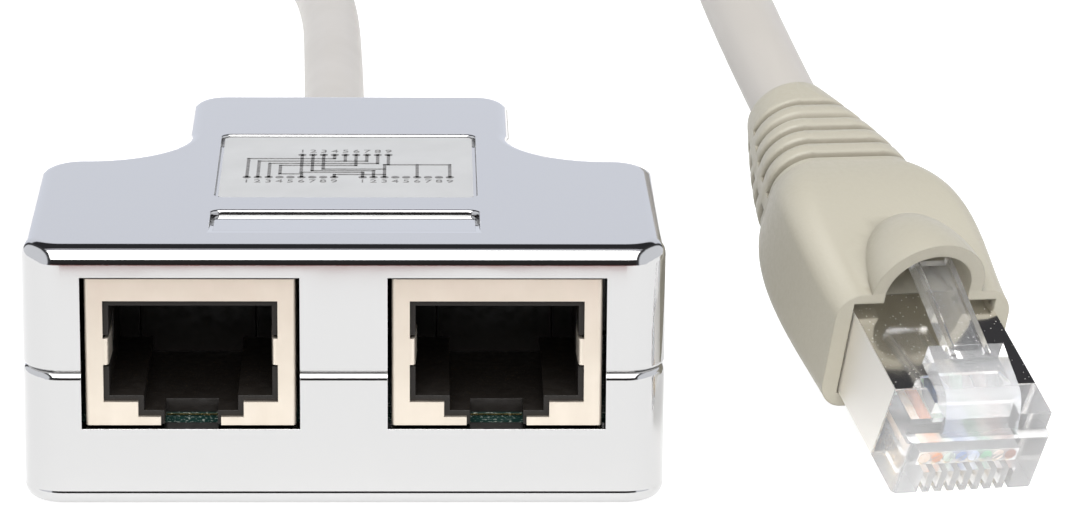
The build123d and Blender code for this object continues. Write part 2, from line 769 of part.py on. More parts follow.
# Folded shield of the plug, with the barrel that is crimped on the lead
with BuildPart(plug_plan) as plug_shield:
    with BuildSketch(plug_section(nose_length)):
        with Locations((0, plug_height / 2)):
            Rectangle(plug_width, plug_height)
    extrude(amount=nose_length - plug_length - plug_sheet)
    with BuildSketch(plug_section(plug_length)):
        with Locations((0, lead_axis)):
            Circle(lead_diameter / 2 + barrel_gap + plug_sheet)
    extrude(amount=-barrel_length)
    with BuildSketch(plug_section(nose_length)):
        with Locations((0, plug_height / 2)):
            Rectangle(plug_width - 2 * plug_sheet, plug_height - 2 * plug_sheet)
    extrude(amount=nose_length - plug_length, mode=Mode.SUBTRACT)
    with BuildSketch(plug_section(plug_length)):
        with Locations((0, lead_axis)):
            Circle(lead_diameter / 2 + barrel_gap)
    extrude(amount=-2 * barrel_length, mode=Mode.SUBTRACT)
    with BuildSketch(plug_plan.offset(plug_height)):
        with BuildLine():
            Polyline((-valley_width / 2 - notch_flare, nose_length),
                     (valley_width / 2 + notch_flare, nose_length),
                     (valley_width / 2, nose_length + notch_depth),
                     (-valley_width / 2, nose_length + notch_depth), close=True)
        make_face()
    extrude(amount=-plug_sheet, mode=Mode.SUBTRACT)
save(plug_shield, "plug_shield")


def boot_ring(back, width, height, corner, centre):
    """Rounded outline of the boot at a distance back from the nose."""
    with BuildSketch(plug_section(back)) as ring:
        with Locations((0, centre)):
            RectangleRounded(width, height, corner)
    return ring.sketch


def hood_ring(back, radius, centre, foot):
    """Arch of the latch hood at a distance back from the nose."""
    with BuildSketch(plug_section(back)) as ring:
        with BuildLine():
            RadiusArc((radius, centre), (-radius, centre), -radius)
            Polyline((-radius, centre), (-radius, foot), (radius, foot), (radius, centre))
        make_face()
    return ring.sketch


def hood_dome(front, reach, radius, foot):
    """Arches of a half dome, shrinking as a quarter ellipse towards the plug's rear."""
    turns = [radians(turn) for turn in hood_turns]
    return [hood_ring(front + reach * sin(turn), radius * cos(turn), hood_centre, foot) for turn in turns]


def tail_ring(back, depth):
    """Outline of the boot's tail at a distance back from the nose, sunk by a depth."""
    along = ((back - boot_waist_back) / (boot_end_back - boot_waist_back)) ** tail_curve
    width = boot_waist_width + along * (boot_end_diameter - boot_waist_width) - 2 * depth
    height = boot_waist_height + along * (boot_end_diameter - boot_waist_height) - 2 * depth
    corner = waist_corner + along * (boot_end_diameter / 2 - waist_corner) - depth
    centre = boot_waist_centre + along * (lead_axis - boot_waist_centre)
    return boot_ring(back, width, height, min(corner, height / 2 - tip_flat), centre)


# Space of the grooves round the boot's tail, left out along a spine on each side
with BuildPart() as grooves:
    for i in range(groove_count):
        start = groove_first + i * groove_pitch
        with BuildSketch(plug_section(start)):
            with Locations((0, boot_centre)):
                Rectangle(2 * boot_width, 2 * boot_height)
        extrude(amount=-groove_width)
        loft([tail_ring(start + share * groove_width, groove_depth * depth)
              for share, depth in groove_profile], mode=Mode.SUBTRACT)
    with BuildSketch(plug_section(boot_waist_back)):
        with Locations((0, boot_centre)):
            Rectangle(2 * boot_width, spine_height)
    extrude(amount=boot_waist_back - boot_end_back, mode=Mode.SUBTRACT)

# Boot: tapering sleeve with a slanted rim, a domed hood over the latch and grooves round its tail
with BuildPart() as boot:
    tail_rings = [tail_ring(boot_waist_back + i / tail_steps * (boot_end_back - boot_waist_back), 0)
                  for i in range(tail_steps + 1)]
    loft([boot_ring(tail_start, boot_width, boot_height, boot_corner, boot_centre),
          boot_ring(boot_middle_back, boot_middle_width, boot_middle_height, boot_middle_corner,
                    boot_middle_centre),
          boot_ring(boot_crown_back, boot_crown_width, boot_crown_height, boot_crown_corner,
                    boot_crown_centre),
          tail_rings[0]])
    loft(tail_rings)
    tip_diameter = boot_end_diameter - 2 * end_chamfer
    loft([tail_rings[-1],
          boot_ring(boot_end_back + end_chamfer, tip_diameter, tip_diameter, tip_diameter / 2 - tip_flat,
                    lead_axis)])
    loft(hood_dome(hood_front - hood_lead_in, hood_reach, hood_radius, lead_axis))
    with BuildSketch(plug_section(tail_start - 1)):
        with Locations((0, (plug_height + boot_ceiling_gap - boot_cavity_gap) / 2)):
            Rectangle(plug_width + 2 * boot_cavity_gap, plug_height + boot_ceiling_gap + boot_cavity_gap)
    extrude(amount=tail_start - 1 - plug_length - plug_sheet - boot_cavity_gap, mode=Mode.SUBTRACT)
    loft(hood_dome(hood_front - hood_lead_in - fit_gap, hood_reach - hood_wall, hood_radius - hood_wall,
                   plug_height), mode=Mode.SUBTRACT)
    with BuildSketch(plug_section(plug_length)):
        with Locations((0, lead_axis)):
            Circle(lead_diameter / 2 + barrel_gap + plug_sheet + boot_cavity_gap)
    extrude(amount=-barrel_length - boot_cavity_gap, mode=Mode.SUBTRACT)
    with BuildSketch(plug_section(plug_length)):
        with Locations((0, lead_axis)):
            Circle(lead_diameter / 2 + lead_gap)
    extrude(amount=plug_length - boot_end_back - 1, mode=Mode.SUBTRACT)
    with BuildSketch(plug_side(-boot_width)):
        with BuildLine():
            Polyline((0, -boot_height),
                     (rim_bottom_back - (boot_height - boot_drop) * rim_slope, -boot_height),
                     (rim_top_back, boot_height - boot_drop), (hood_front, 2 * boot_height),
                     (0, 2 * boot_height), close=True)
        make_face()
    extrude(amount=2 * boot_width, mode=Mode.SUBTRACT)
    add(grooves.part, mode=Mode.SUBTRACT)
save(boot, "boot")
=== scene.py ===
from math import cos, radians, sin

import bmesh
import bpy
from mathutils import Matrix, Vector


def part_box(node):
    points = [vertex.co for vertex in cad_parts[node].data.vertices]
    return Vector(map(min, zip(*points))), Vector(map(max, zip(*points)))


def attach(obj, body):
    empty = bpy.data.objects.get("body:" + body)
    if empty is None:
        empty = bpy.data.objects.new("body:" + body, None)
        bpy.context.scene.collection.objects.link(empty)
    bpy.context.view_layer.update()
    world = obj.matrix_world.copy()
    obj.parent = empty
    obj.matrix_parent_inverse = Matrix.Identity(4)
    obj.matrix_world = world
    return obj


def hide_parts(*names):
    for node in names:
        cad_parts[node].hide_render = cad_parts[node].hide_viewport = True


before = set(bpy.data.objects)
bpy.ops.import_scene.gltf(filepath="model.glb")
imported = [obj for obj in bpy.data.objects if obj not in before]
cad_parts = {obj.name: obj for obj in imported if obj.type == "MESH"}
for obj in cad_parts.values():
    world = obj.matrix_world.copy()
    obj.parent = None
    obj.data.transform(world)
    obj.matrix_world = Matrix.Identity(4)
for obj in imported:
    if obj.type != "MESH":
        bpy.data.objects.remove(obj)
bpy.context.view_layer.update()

MM = 0.001
weld = 0.001 * MM

# Housing: two shells moulded in plastic and plated bright, pressed together on pins. The plating
# mirrors the studio, with a faint waviness from the moulding under it, a little handling haze and
# a fine bead round the foot.
plating_colour = (0.53, 0.528, 0.525)
plating_haze = (0.035, 0.075)
wave_height, wave_strength = 0.4 * MM, 0.012
bead_low, bead_high, bead_relief = 0.9 * MM, 1.2 * MM, 0.045 * MM
plating_edge = 0.07 * MM


def new_finish(name, colour, **sockets):
    """A material with one shader, its plain values on the shader's own sockets."""
    material = bpy.data.materials.new(name)
    material.use_nodes = True
    shader = material.node_tree.nodes["Principled BSDF"]
    shader.inputs["Base Color"].default_value = (*colour, 1)
    for socket, value in sockets.items():
        title = socket.replace("_", " ").title().replace("Ior", "IOR")
        shader.inputs[title].default_value = value
    return material


def noise(material, scale, detail=3.0, stretch=(1, 1, 1)):
    """A noise pattern on Object coordinates, its scale in waves a metre; returns its output."""
    nodes, links = material.node_tree.nodes, material.node_tree.links
    place, mapping, pattern = (nodes.new("ShaderNode" + kind)
                               for kind in ("TexCoord", "Mapping", "TexNoise"))
    mapping.inputs["Scale"].default_value = stretch
    pattern.inputs["Scale"].default_value = scale
    pattern.inputs["Detail"].default_value = detail
    links.new(place.outputs["Object"], mapping.inputs["Vector"])
    links.new(mapping.outputs["Vector"], pattern.inputs["Vector"])
    return pattern.outputs["Fac"]


def vary(material, socket, pattern, low, high, start=0.35, end=0.65):
    """Lets a pattern move one socket of the shader between two values or two colours."""
    nodes, links = material.node_tree.nodes, material.node_tree.links
    if isinstance(low, tuple):
        ramp = nodes.new("ShaderNodeValToRGB")
        stops = ramp.color_ramp.elements
        stops[0].position, stops[1].position = start, end
        stops[0].color, stops[1].color = (*low, 1), (*high, 1)
        links.new(pattern, ramp.inputs["Fac"])
        out = ramp.outputs["Color"]
    else:
        spread = nodes.new("ShaderNodeMapRange")
        limits = zip(("From Min", "From Max", "To Min", "To Max"), (start, end, low, high))
        for name, value in limits:
            spread.inputs[name].default_value = value
        links.new(pattern, spread.inputs["Value"])
        out = spread.outputs["Result"]
    links.new(out, nodes["Principled BSDF"].inputs[socket])
    return out


def relief(material, pattern, height, strength=1.0):
    """Raises a pattern on the surface by a height in metres, over any relief that is there."""
    nodes, links = material.node_tree.nodes, material.node_tree.links
    bump, normal = nodes.new("ShaderNodeBump"), nodes["Principled BSDF"].inputs["Normal"]
    bump.inputs["Distance"].default_value = height
    bump.inputs["Strength"].default_value = strength
    if normal.is_linked:
        links.new(normal.links[0].from_socket, bump.inputs["Normal"])
    links.new(pattern, bump.inputs["Height"])
    links.new(bump.outputs["Normal"], normal)


def along(material, start, end, direction=(0, 0, 1), origin=(0, 0, 0)):
    """A pattern that rises from 0 to 1 between two distances along a direction, in metres."""
    nodes, links = material.node_tree.nodes, material.node_tree.links
    place, shift, reach, spread = (nodes.new("ShaderNode" + kind) for kind in
                                   ("TexCoord", "VectorMath", "VectorMath", "MapRange"))
    shift.operation, reach.operation = "SUBTRACT", "DOT_PRODUCT"
    spread.interpolation_type = "SMOOTHSTEP"
    shift.inputs[1].default_value, reach.inputs[1].default_value = origin, direction
    spread.inputs["From Min"].default_value = start
    spread.inputs["From Max"].default_value = end
    links.new(place.outputs["Object"], shift.inputs[0])
    links.new(shift.outputs["Vector"], reach.inputs[0])
    links.new(reach.outputs["Value"], spread.inputs["Value"])
    return spread.outputs["Result"]


def round_edges(material, radius):
    """Shades sharp edges as if they were rounded by a radius in metres."""
    nodes, links = material.node_tree.nodes, material.node_tree.links
    edge, normal = nodes.new("ShaderNodeBevel"), nodes["Principled BSDF"].inputs["Normal"]
    edge.samples = 4
    edge.inputs["Radius"].default_value = radius
    last = normal.links[0].from_node if normal.is_linked else None
    while last and last.inputs["Normal"].is_linked:
        last = last.inputs["Normal"].links[0].from_node
    links.new(edge.outputs["Normal"], last.inputs["Normal"] if last else normal)


def dress(material, *names):
    """Gives CAD nodes their finish."""
    for name in names:
        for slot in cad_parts[name].material_slots:
            slot.material = material


plating = new_finish("bright_plating", plating_colour, metallic=1.0)
vary(plating, "Roughness", noise(plating, scale=90), *plating_haze)
relief(plating, noise(plating, scale=160, detail=2.0), wave_height, wave_strength)
relief(plating, along(plating, bead_high, bead_low), bead_relief)
round_edges(plating, plating_edge)
dress(plating, "upper_shell", "lower_shell")

# Floor of the front recess: it lies higher than the recess is cut, up to a thin step at its rear,
# so a thin wedge of the same plating fills it.
roof = 19.8 * MM
wedge_rise = 0.25 * MM
wedge_half, wedge_corner, wedge_gap = 9.65 * MM, 0.75 * MM, 0.02 * MM
wedge_front, wedge_rear, wedge_depth = -17.5 * MM, -11.72 * MM, 0.6 * MM
corner_steps = 6


def scene_object(name, shape, material):
    """Makes an object of the scene from a finished bmesh."""
    mesh = bpy.data.meshes.new(name)
    shape.to_mesh(mesh)
    shape.free()
    mesh.materials.append(material)
    thing = bpy.data.objects.new(name, mesh)
    bpy.context.scene.collection.objects.link(thing)
    return thing


def new_piece(name, shape, material):
    """Makes a piece of the object, which rides on its one body."""
    piece = scene_object(name, shape, material)
    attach(piece, "root")
    return piece


wedge_plan = [Vector((-wedge_half, wedge_front)), Vector((wedge_half, wedge_front))]
for side in (1, -1):
    for i in range(corner_steps + 1):
        angle = radians(90 * i / corner_steps)
        reach = Vector((cos(angle), sin(angle)))
        if side < 0:
            reach = Vector((sin(angle), cos(angle)))
        wedge_plan.append(Vector((side * (wedge_half - wedge_corner + wedge_corner * reach.x),
                                  wedge_rear - wedge_corner + wedge_corner * reach.y)))
wedge_shape = bmesh.new()
rings = []
for lift in (0, wedge_rise):
    ring = []
    for x, y in wedge_plan:
        share = (y - wedge_front) / (wedge_rear - wedge_front)
        height = roof - wedge_gap - (wedge_depth - lift) * share
        ring.append(wedge_shape.verts.new((x, y, height)))
    rings.append(ring)
wedge_shape.faces.new(reversed(rings[0]))
wedge_shape.faces.new(rings[1])
for i in range(len(wedge_plan)):
    j = (i + 1) % len(wedge_plan)
    wedge_shape.faces.new((rings[0][i], rings[0][j], rings[1][j], rings[1][i]))
bmesh.ops.remove_doubles(wedge_shape, verts=wedge_shape.verts[:], dist=weld)
bmesh.ops.recalc_face_normals(wedge_shape, faces=wedge_shape.faces[:])
new_piece("ramp_face", wedge_shape, plating)

# Plate in the rear recess of the roof: satin silver film with the wiring of the three sockets
# printed in dark ink. The ink stands a hair above the film, so it is thin mesh of its own.
film = new_finish("satin_film", (0.475, 0.475, 0.465), metallic=0.25, roughness=0.42)
vary(film, "Base Color", noise(film, scale=260), (0.46, 0.46, 0.45), (0.49, 0.49, 0.48))
relief(film, noise(film, scale=9000), height=0.02 * MM, strength=0.15)
dress(film, "label_plate")

ink = new_finish("dark_ink", (0.13, 0.125, 0.12), roughness=0.5)
vary(ink, "Base Color", noise(ink, scale=3500), (0.10, 0.097, 0.093), (0.19, 0.185, 0.18))
ink_thickness, ink_line, ink_dot = 0.015 * MM, 0.25 * MM, 0.32 * MM
digit_size = 1.15 * MM
plate_low, plate_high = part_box("label_plate")
plate_middle = (plate_low + plate_high) / 2
plate_middle.z = plate_high.z

# The dots and the corners of the printed lines are in millimetres from the plate's middle.
dot_count, dot_pitch = 9, 0.83
row_y = {"low": -2.85, "high": 3.36}
digit_y = {"low": -3.95, "high": 4.36}
row_start = {"left": (-7.6, "low"), "right": (1.2, "low"), "top": (-3.5, "high")}
dot_places = {side: [(start + i * dot_pitch, row_y[row]) for i in range(dot_count)]
              for side, (start, row) in row_start.items()}
left, right, top = dot_places["left"], dot_places["right"], dot_places["top"]
ink_routes = [
    [left[0], (left[0][0], 2.3), (top[3][0], 2.3), top[3]],
    [left[1], (left[1][0], 1.6), (top[6][0], 1.6), top[6]],
    [(top[4][0], 1.6), top[4]],
    [left[2], (left[2][0], 0.95), (top[7][0], 0.95), top[7]],
    [left[5], (left[5][0], -1.95), (left[3][0], -1.95),
     (left[3][0], 0.4), (top[5][0], 0.4), top[5]],
    [top[0], (top[0][0], -1.5), (right[0][0], -1.5), right[0]],
    [top[1], (top[1][0], -1.05), (right[1][0], -1.05), right[1]],
    [top[2], (top[2][0], -0.6), (right[2][0], -0.6)],
    [top[8], (top[8][0], 0.6), (right[2][0], 0.6), right[2]],
    [left[8], (left[8][0], -2.1), (right[2][0], -2.1)],
    [(right[2][0], 0.6), (right[8][0], 0.6), right[8]],
    [(right[5][0], 0.6), right[5]],
]


def digit_mesh(body, size, place):
    """A printed digit as flat mesh, turned and placed by a matrix."""
    text = bpy.data.curves.new("digit", "FONT")
    text.body, text.size, text.align_x, text.align_y = body, size, "CENTER", "CENTER"
    text.resolution_u = 3
    holder = bpy.data.objects.new("digit", text)
    bpy.context.scene.collection.objects.link(holder)
    bpy.context.view_layer.update()
    drawn = holder.evaluated_get(bpy.context.evaluated_depsgraph_get())
    mesh = bpy.data.meshes.new_from_object(drawn)
    bpy.data.objects.remove(holder)
    mesh.transform(place)
    return mesh


print_shape = bmesh.new()
for route in ink_routes:
    for (x0, y0), (x1, y1) in zip(route, route[1:]):
        run = Vector((x1 - x0, y1 - y0, 0)) * MM
        middle = plate_middle + Vector(((x0 + x1) / 2, (y0 + y1) / 2, 0)) * MM
        size = Matrix.Diagonal((abs(run.x) + ink_line, abs(run.y) + ink_line, 1, 1))
        bmesh.ops.create_grid(print_shape, x_segments=1, y_segments=1, size=0.5,
                              matrix=Matrix.Translation(middle) @ size)
for side, places in dot_places.items():
    for i, (x, y) in enumerate(places):
        spot = plate_middle + Vector((x, y, 0)) * MM
        bmesh.ops.create_circle(print_shape, cap_ends=True, segments=16, radius=ink_dot,
                                matrix=Matrix.Translation(spot))
        spot.y = plate_middle.y + digit_y[row_start[side][1]] * MM
        print_shape.from_mesh(digit_mesh(str(i + 1), digit_size, Matrix.Translation(spot)))
bmesh.ops.solidify(print_shape, geom=print_shape.faces[:], thickness=-ink_thickness)
bmesh.ops.recalc_face_normals(print_shape, faces=print_shape.faces[:])
new_piece("plate_print", print_shape, ink)

# Circuit board under the sockets: glass laminate with green solder mask. Only its front edge
# shows, in the slot under each mouth, where it carries a strip of gold plating.
mask = new_finish("green_mask", (0.008, 0.04, 0.032), roughness=0.32, coat_weight=0.3)
vary(mask, "Base Color", noise(mask, scale=3800, stretch=(1, 1, 3)),
     (0.006, 0.03, 0.025), (0.42, 0.47, 0.42), start=0.56, end=0.68)
dress(mask, "circuit_board")

pad_width, pad_height, pad_depth, pad_drop = 3.8 * MM, 0.12 * MM, 0.04 * MM, 0.02 * MM
socket_offset = 11.2 * MM
board_low, board_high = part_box("circuit_board")
pad_y, pad_z = board_low.y - pad_depth / 2, board_high.z - pad_drop - pad_height / 2
pad_size = Matrix.Diagonal((pad_width, pad_depth, pad_height, 1))
pad_shape = bmesh.new()
for side in (-1, 1):
    place = Matrix.Translation((side * socket_offset, pad_y, pad_z))
    bmesh.ops.create_cube(pad_shape, size=1, matrix=place @ pad_size)
gold = new_finish("gold_plating", (0.87, 0.63, 0.27), metallic=1.0, roughness=0.2)
vary(gold, "Roughness", noise(gold, scale=1200), 0.15, 0.3)
new_piece("board_edge_pads", pad_shape, gold)

# Sockets: each a folded can of satin tin plate round a dark moulded insert with a rear block,
# and eight gold-plated spring wires.
contact_count = 8
tinplate = new_finish("tin_plate", (0.69, 0.62, 0.53), metallic=0.85, roughness=0.36)
vary(tinplate, "Roughness", noise(tinplate, scale=900, detail=4.0, stretch=(1, 1, 0.1)), 0.30, 0.44)
vary(tinplate, "Base Color", noise(tinplate, scale=400),
     (0.675, 0.605, 0.515), (0.705, 0.635, 0.545))
relief(tinplate, noise(tinplate, scale=5000, detail=2.0, stretch=(1, 1, 0.05)),
       height=0.02 * MM, strength=0.2)
dark_plastic = new_finish("dark_moulding", (0.011, 0.009, 0.0075), roughness=0.45,
                          specular_ior_level=0.3)
vary(dark_plastic, "Roughness", noise(dark_plastic, scale=1500), 0.36, 0.55)
relief(dark_plastic, noise(dark_plastic, scale=8000), height=0.03 * MM, strength=0.3)
round_edges(dark_plastic, 0.12 * MM)
for side in ("left", "right"):
    dress(tinplate, side + "_socket_shield")
    dress(dark_plastic, side + "_socket_insert", side + "_socket_block")
    dress(gold, *[side + "_socket_contact_" + str(i + 1) for i in range(contact_count)])

# Wires: soft coloured insulation, eight from the lead to the board and eight in the plug.
# Each colour is given light and dark, and the striped ones are pale.
wire_colours = {
    "white_orange": ((0.93, 0.80, 0.68), (0.86, 0.55, 0.28)),
    "orange": ((0.86, 0.30, 0.05), (0.74, 0.22, 0.03)),
    "white_green": ((0.80, 0.90, 0.80), (0.55, 0.78, 0.58)),
    "blue": ((0.20, 0.31, 0.62), (0.15, 0.25, 0.52)),
    "white_blue": ((0.78, 0.83, 0.92), (0.50, 0.60, 0.85)),
    "green": ((0.20, 0.48, 0.28), (0.16, 0.40, 0.24)),
    "white_brown": ((0.88, 0.80, 0.72), (0.66, 0.48, 0.38)),
    "brown": ((0.34, 0.13, 0.07), (0.26, 0.10, 0.05)),
}
for colour, (light, dark) in wire_colours.items():
    insulation = new_finish("insulation_" + colour, light, roughness=0.35)
    vary(insulation, "Base Color", noise(insulation, scale=600), dark, light)
    dress(insulation, "board_wire_" + colour, "plug_wire_" + colour)

# Tie: a strip of natural nylon pulled tight round the lead inside the neck. It is a little
# translucent, with the grain of its mould.
nylon = new_finish("natural_nylon", (0.86, 0.85, 0.79), roughness=0.4, subsurface_weight=0.1)
vary(nylon, "Roughness", noise(nylon, scale=1800), 0.34, 0.5)
relief(nylon, noise(nylon, scale=2600), height=0.05 * MM, strength=0.25)
dress(nylon, "cable_tie")

# Plug body: one clear moulding with its latch, polished by the mould and a little cloudy at the
# nose, where the gold-plated blades were pressed in.
plug_nose = Vector((45.8, -19.4, 0.5)) * MM
plug_across = Vector((0.9298, 0.3599, -0.0775)).normalized()
plug_back = Vector((-0.297, 0.8578, 0.4195)).normalized()
plug_up = Vector((0.2175, -0.367, 0.9045)).normalized()
cloudy_end, clear_start = 2.6 * MM, 7.0 * MM
clear = new_finish("clear_moulding", (0.97, 0.97, 0.97), roughness=0.04, ior=1.18,
                   transmission_weight=0.78, coat_weight=0.4, coat_roughness=0.05)
vary(clear, "Roughness", noise(clear, scale=1500), 0.02, 0.08)
vary(clear, "Transmission Weight", along(clear, cloudy_end, clear_start, plug_back, plug_nose),
     0.74, 0.94, start=0, end=1)
relief(clear, noise(clear, scale=700, detail=2.0), height=0.08 * MM, strength=0.12)
dress(clear, "plug_body")
blades = ["plug_blade_" + str(i + 1) for i in range(contact_count)]
dress(gold, *blades)

# Plug shield: thin bright sheet folded round the moulding, with fine dust on it and a dull
# left flank.
sheet_roughness, dust_roughness, flank_roughness = 0.12, 0.7, 0.5
dust_scale, dust_edge = 2600, (0.14, 0.07)
half_plug, flank_skin = 5.84 * MM, 0.12 * MM
bright_sheet = new_finish("bright_sheet", (0.89, 0.868, 0.825), metallic=1.0,
                          roughness=sheet_roughness)
relief(bright_sheet, noise(bright_sheet, scale=500, detail=2.0), height=0.3 * MM, strength=0.05)
nodes, links = bright_sheet.node_tree.nodes, bright_sheet.node_tree.links
place, dust = nodes.new("ShaderNodeTexCoord"), nodes.new("ShaderNodeTexVoronoi")
dust.inputs["Scale"].default_value = dust_scale
links.new(place.outputs["Object"], dust.inputs["Vector"])
specks = vary(bright_sheet, "Roughness", dust.outputs["Distance"],
              sheet_roughness, dust_roughness, *dust_edge)
flank = along(bright_sheet, flank_skin - half_plug, -half_plug, plug_across, plug_nose)
dull = vary(bright_sheet, "Roughness", flank, sheet_roughness, flank_roughness, start=0, end=1)
duller = nodes.new("ShaderNodeMath")
duller.operation = "MAXIMUM"
links.new(specks, duller.inputs[0])
links.new(dull, duller.inputs[1])
links.new(duller.outputs["Value"], nodes["Principled BSDF"].inputs["Roughness"])
dress(bright_sheet, "plug_shield")

# Boot: one soft grey-beige moulding, slid over the plug's rear. Five grooves let its tail bend.
# The solid lacks the fourth, so a merged copy has it sunk in, except along a spine on each side.
soft_moulding = new_finish("soft_moulding", (0.343, 0.321, 0.261), roughness=0.45)
# The grooves and other hollows within this reach are painted darker by an occlusion pattern:
# painted shade, not dirt.
painted_shade_reach = 0.9 * MM
groove_painted_shade = soft_moulding.node_tree.nodes.new("ShaderNodeAmbientOcclusion")
groove_painted_shade.only_local, groove_painted_shade.samples = True, 8
groove_painted_shade.inputs["Distance"].default_value = painted_shade_reach
vary(soft_moulding, "Base Color", groove_painted_shade.outputs["AO"],
     (0.17, 0.15, 0.11), (0.351, 0.329, 0.267), start=0.3, end=0.85)
vary(soft_moulding, "Roughness", noise(soft_moulding, scale=2500), 0.4, 0.52)
relief(soft_moulding, noise(soft_moulding, scale=3500, detail=4.0), height=0.04 * MM, strength=0.3)
round_edges(soft_moulding, 0.18 * MM)

# The profile gives the groove's depth across its width, both as shares of 1.
groove_start, groove_width, groove_depth = 34.45 * MM, 1.2 * MM, 0.6 * MM
groove_profile = ((0.06, 0), (0.16, 0.12), (0.25, 0.3), (0.5, 1), (0.75, 0.3), (0.84, 0.12),
                  (0.94, 0))
tail_height, tail_skin = 3.4 * MM, 3.25 * MM
spine_edges = (0.55 * MM, 0.6 * MM)
spine_half = sum(spine_edges) / 2
cut_tolerance = 0.0001 * MM
crease_angle = radians(28)
boot_shape = bmesh.new()
boot_shape.from_mesh(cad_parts["boot"].data)
bmesh.ops.remove_doubles(boot_shape, verts=boot_shape.verts[:], dist=weld)


def cut_tail(point, normal):
    """Cuts the boot's faces that lie across the groove along a plane."""
    faces = []
    for face in boot_shape.faces:
        reach = [(corner.co - plug_nose).dot(plug_back) - groove_start for corner in face.verts]
        if min(reach) < groove_width and max(reach) > 0:
            faces.append(face)
    geom = list({corner for face in faces for corner in face.verts})
    geom += list({edge for face in faces for edge in face.edges}) + faces
    bmesh.ops.bisect_plane(boot_shape, geom=geom, plane_co=point, plane_no=normal,
                           dist=cut_tolerance)


for share, depth in groove_profile:
    cut_tail(plug_nose + plug_back * (groove_start + share * groove_width), plug_back)
for edge in spine_edges:
    for way in (1, -1):
        cut_tail(plug_nose + plug_up * (tail_height + way * edge), plug_up)
for corner in boot_shape.verts:
    place = corner.co - plug_nose
    share = (place.dot(plug_back) - groove_start) / groove_width
    outward = place - plug_back * place.dot(plug_back) - plug_up * tail_height
    on_spine = abs(outward.dot(plug_up)) < spine_half
    if not 0 < share < 1 or outward.length < tail_skin or on_spine:
        continue
    for (near, shallow), (far, deep) in zip(groove_profile, groove_profile[1:]):
        if near <= share <= far:
            depth = shallow + (deep - shallow) * (share - near) / (far - near)
            corner.co -= outward.normalized() * depth * groove_depth
            break
boot_sleeve = new_piece("boot_sleeve", boot_shape, soft_moulding)
boot_sleeve.data.shade_smooth()
boot_sleeve.data.set_sharp_from_angle(angle=crease_angle)
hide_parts("boot")

# Lead: soft warm-grey sheath over four pairs, one smooth line from the neck to the plug. It lies
# on the table behind the housing, turns round and climbs to the tilted plug. Its route is in
# millimetres.
lead_diameter = 5.5 * MM
lead_route = [
    (0.0, 11.6, 10.3), (0.0, 30.0, 10.3), (-1.9, 52.0, 2.8), (-2.3, 86.0, 2.8),
    (-3.4, 124.0, 2.8), (-10.0, 147.0, 2.8), (-0.5, 169.0, 2.8), (23.5, 179.0, 2.8),
    (47.0, 169.5, 2.8), (57.0, 146.5, 4.0), (48.0, 117.0, 10.5), (35.5, 83.0, 20.5),
    (27.2, 35.2, 30.7), (42.2, -8.2, 9.5),
]
sheath = new_finish("soft_sheath", (0.395, 0.373, 0.344), roughness=0.4)
vary(sheath, "Base Color", noise(sheath, scale=60), (0.387, 0.365, 0.336), (0.403, 0.381, 0.352))
vary(sheath, "Roughness", noise(sheath, scale=300), 0.4, 0.44)
relief(sheath, noise(sheath, scale=900, detail=2.0), height=0.02 * MM, strength=0.1)
lead_line = bpy.data.curves.new("lead", "CURVE")
lead_line.dimensions = "3D"
lead_spline = lead_line.splines.new("NURBS")
lead_spline.points.add(len(lead_route) - 1)
for point, place in zip(lead_spline.points, lead_route):
    point.co = (*[value * MM for value in place], 1)
lead_spline.order_u = 3
lead_spline.use_endpoint_u = True
lead_line.resolution_u = 16
lead_line.bevel_depth = lead_diameter / 2
lead_line.bevel_resolution = 10
lead_line.use_fill_caps = True
lead = bpy.data.objects.new("lead", lead_line)
bpy.context.scene.collection.objects.link(lead)
lead_line.materials.append(sheath)
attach(lead, "root")
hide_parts("cable_jacket")
plug_nodes = ["plug_body", "plug_shield"] + blades
plug_nodes += ["plug_wire_" + colour for colour in wire_colours]

# Table: a pale matt sheet, lit a little from below, that ends a little way in front of the
# housing.
sheet_side, sheet_cuts, sheet_front = 6.0, 8, -0.0815
pale = new_finish("pale_table", (0.42, 0.42, 0.42), roughness=0.9, emission_strength=0.78)
vary(pale, "Base Color", noise(pale, scale=4), (0.415, 0.415, 0.415), (0.425, 0.425, 0.425))
table_shape = bmesh.new()
bmesh.ops.create_grid(table_shape, x_segments=sheet_cuts, y_segments=sheet_cuts,
                      size=sheet_side / 2,
                      matrix=Matrix.Translation((0, sheet_front + sheet_side / 2, 0)))
table = scene_object("table", table_shape, pale)

# Room: what the eye alone sees past the sheet, the same pale floor and a wall round it. The
# bright edges don't mirror them.
wall_radius, wall_height, wall_sides = 2.9, 3.0, 64
room_shape = bmesh.new()
bmesh.ops.create_grid(room_shape, x_segments=sheet_cuts, y_segments=sheet_cuts,
                      size=sheet_side / 2,
                      matrix=Matrix.Translation((0, sheet_front - sheet_side / 2, 0)))
bmesh.ops.create_cone(room_shape, segments=wall_sides, radius1=wall_radius, radius2=wall_radius,
                      depth=wall_height, matrix=Matrix.Translation((0, 0, wall_height / 2)))
room = scene_object("room", room_shape, pale)
for rays in ("diffuse", "glossy", "transmission", "volume_scatter", "shadow"):
    setattr(room, "visible_" + rays, False)

